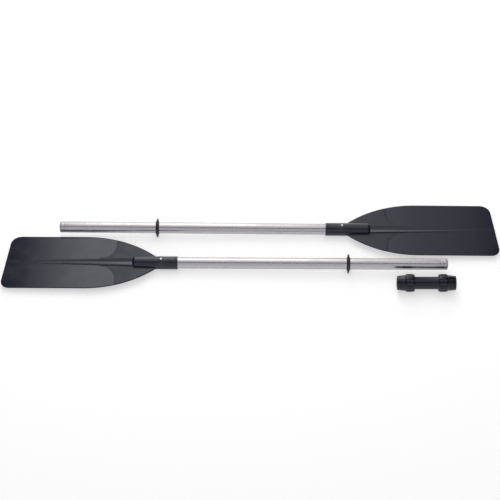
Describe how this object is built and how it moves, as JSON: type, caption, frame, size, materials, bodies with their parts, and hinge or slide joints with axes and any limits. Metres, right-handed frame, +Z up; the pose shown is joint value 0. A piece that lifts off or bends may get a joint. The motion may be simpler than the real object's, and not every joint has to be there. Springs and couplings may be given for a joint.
{
  "type": "kayak paddle",
  "caption": "Take-apart kayak paddle laid out in halves: ribbed plastic blades on aluminium shafts with drip rings, and a screw-clamp shaft connector.",
  "frame": {"origin": "middle of the laid-out paddle's box, on the ground it lies on", "axes": "+X along the rows towards the right half's blade, +Y from the connector towards the right half's row, +Z up"},
  "size_m": [1.2588, 0.281, 0.049],
  "materials": {
    "blade_plastic": "moulded charcoal polypropylene with a fine grain",
    "shaft_aluminium": "drawn tube, satin anodised",
    "rivet_aluminium": "bright blind rivet",
    "stem_steel": "snapped rivet stem",
    "plug_plastic": "moulded grey plug",
    "ring_rubber": "moulded black rubber",
    "connector_plastic": "moulded glossy black",
    "collet_plastic": "natural acetal",
    "seal_rubber": "black seal ring"
  },
  "bodies": {
    "left_half": {"left_blade": "blade_plastic", "left_shaft": "shaft_aluminium", "left_rivet": "rivet_aluminium", "left_rivet_stem": "stem_steel", "left_inner_plug": "plug_plastic", "left_end_plug": "plug_plastic"},
    "left_ring": {"left_drip_ring": "ring_rubber"},
    "right_half": {"right_blade": "blade_plastic", "right_shaft": "shaft_aluminium", "right_rivet": "rivet_aluminium", "right_rivet_stem": "stem_steel", "right_inner_plug": "plug_plastic", "right_end_plug": "plug_plastic"},
    "right_ring": {"right_drip_ring": "ring_rubber"},
    "connector": {"connector_sleeve": "connector_plastic", "left_thrust_washer": "collet_plastic", "right_thrust_washer": "collet_plastic", "left_seal": "seal_rubber", "right_seal": "seal_rubber"},
    "left_collet_body": {"left_collet": "collet_plastic"},
    "left_nut": {"left_clamp_nut": "connector_plastic"},
    "right_collet_body": {"right_collet": "collet_plastic"},
    "right_nut": {"right_clamp_nut": "connector_plastic"}
  },
  "joints": [
    {"name": "left_ring_slide", "type": "slide", "parent": "left_half", "child": "left_ring", "axis": [0.9997, -0.018, 0.0143], "range_m": [-0.425, 0.224]},
    {"name": "right_half_lift", "type": "slide", "parent": "left_half", "child": "right_half", "axis": [0, 0, 1], "range_m": [0, 0.15]},
    {"name": "right_ring_slide", "type": "slide", "parent": "right_half", "child": "right_ring", "axis": [-0.9999, 0, 0.0143], "range_m": [-0.425, 0.224]},
    {"name": "connector_lift", "type": "slide", "parent": "left_half", "child": "connector", "axis": [0, 0, 1], "range_m": [0, 0.15]},
    {"name": "left_collet_travel", "type": "slide", "parent": "connector", "child": "left_collet_body", "axis": [-1, 0, 0], "range_m": [0, 0.01205]},
    {"name": "left_nut_turn", "type": "hinge", "parent": "left_collet_body", "child": "left_nut", "pos_m": [0.40541, -0.11786, 0.02275], "axis": [-1, 0, 0], "range_deg": [0, 1440]},
    {"name": "right_collet_travel", "type": "slide", "parent": "connector", "child": "right_collet_body", "axis": [1, 0, 0], "range_m": [0, 0.01205]},
    {"name": "right_nut_turn", "type": "hinge", "parent": "right_collet_body", "child": "right_nut", "pos_m": [0.46521, -0.11786, 0.02275], "axis": [1, 0, 0], "range_deg": [0, 1440]}
  ],
  "couplings": [
    {"joint": "left_collet_travel", "follows": "left_nut_turn", "m_per_rad": 0.00047746},
    {"joint": "right_collet_travel", "follows": "right_nut_turn", "m_per_rad": 0.00047746}
  ]
}
